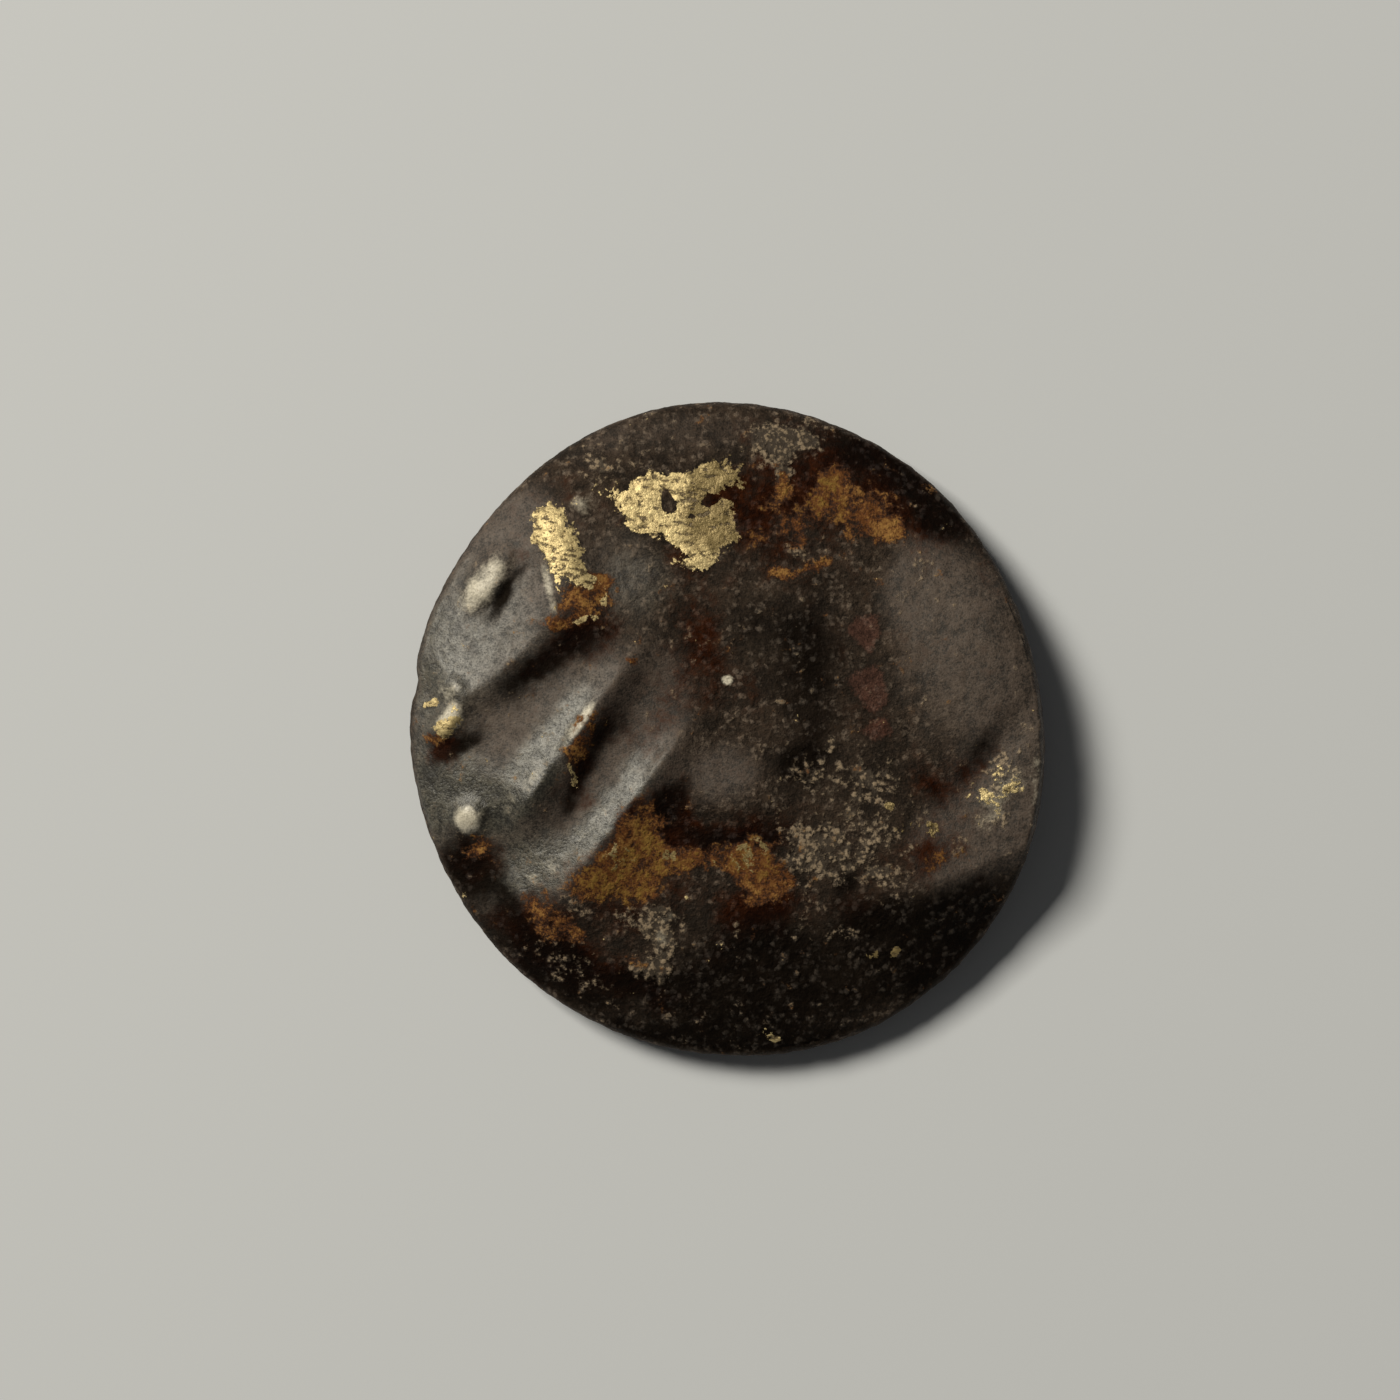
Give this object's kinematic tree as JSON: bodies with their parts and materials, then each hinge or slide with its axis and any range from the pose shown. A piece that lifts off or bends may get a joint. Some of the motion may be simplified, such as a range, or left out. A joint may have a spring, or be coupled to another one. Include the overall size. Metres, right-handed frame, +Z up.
{
  "type": "plated gold coin",
  "caption": "Thick worn ancient coin, slightly oval, with soft struck ridges and pellets, dark patina and patches of gold.",
  "frame": {"origin": "on the ground, below the centre of the coin's bounding box", "axes": "+Z up through the coin's thickness, face up; +Y towards the top of the face; +X to the right of the face"},
  "size_m": [0.0174, 0.018, 0.003],
  "materials": {
    "plated_copper_alloy": "dark brown to grey pitted patina over copper alloy, with worn patches of gold plating"
  },
  "bodies": {
    "root": {"coin": "plated_copper_alloy"}
  },
  "joints": []
}
